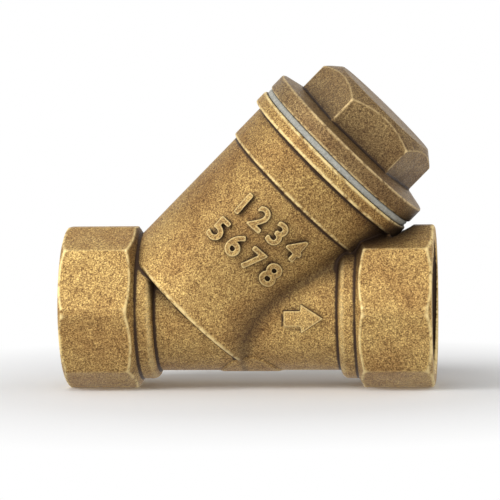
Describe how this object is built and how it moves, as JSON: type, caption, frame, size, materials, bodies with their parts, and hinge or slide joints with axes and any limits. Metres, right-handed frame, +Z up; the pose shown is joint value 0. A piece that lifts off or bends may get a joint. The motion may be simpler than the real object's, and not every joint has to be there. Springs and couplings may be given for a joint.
{
  "type": "y strainer",
  "caption": "Brass Y-pattern pipe strainer with threaded ends, a hexagon screw cap, a flat gasket and a removable perforated screen.",
  "frame": {"origin": "centre of the inlet's mouth, on the run's axis", "axes": "+X along the run, in the direction of flow; +Z up, on the branch's side; the branch leans towards +X"},
  "size_m": [0.058, 0.0306, 0.0503],
  "materials": {
    "cast_brass": "blasted forging, satin",
    "turned_brass": "blasted and dull",
    "gasket": "pale grey flat gasket",
    "stainless": "stainless sheet and wire"
  },
  "bodies": {
    "body": {"body": "cast_brass"},
    "cartridge": {"cap_gasket": "gasket", "screen_tube": "stainless", "screen_mesh": "stainless", "screen_top_ring": "stainless", "screen_bottom_ring": "stainless"},
    "cap": {"cap": "turned_brass"}
  },
  "joints": [
    {"name": "cartridge_rise", "type": "slide", "parent": "body", "child": "cartridge", "axis": [0.7071, 0, 0.7071], "range_m": [0, 0.0405]},
    {"name": "cap_turn", "type": "hinge", "parent": "cartridge", "child": "cap", "pos_m": [0.04326, 0, 0.02376], "axis": [0.7071, 0, 0.7071], "range_deg": [0, 9600]}
  ],
  "couplings": [
    {"joint": "cartridge_rise", "follows": "cap_turn", "m_per_rad": 0.00023873}
  ]
}
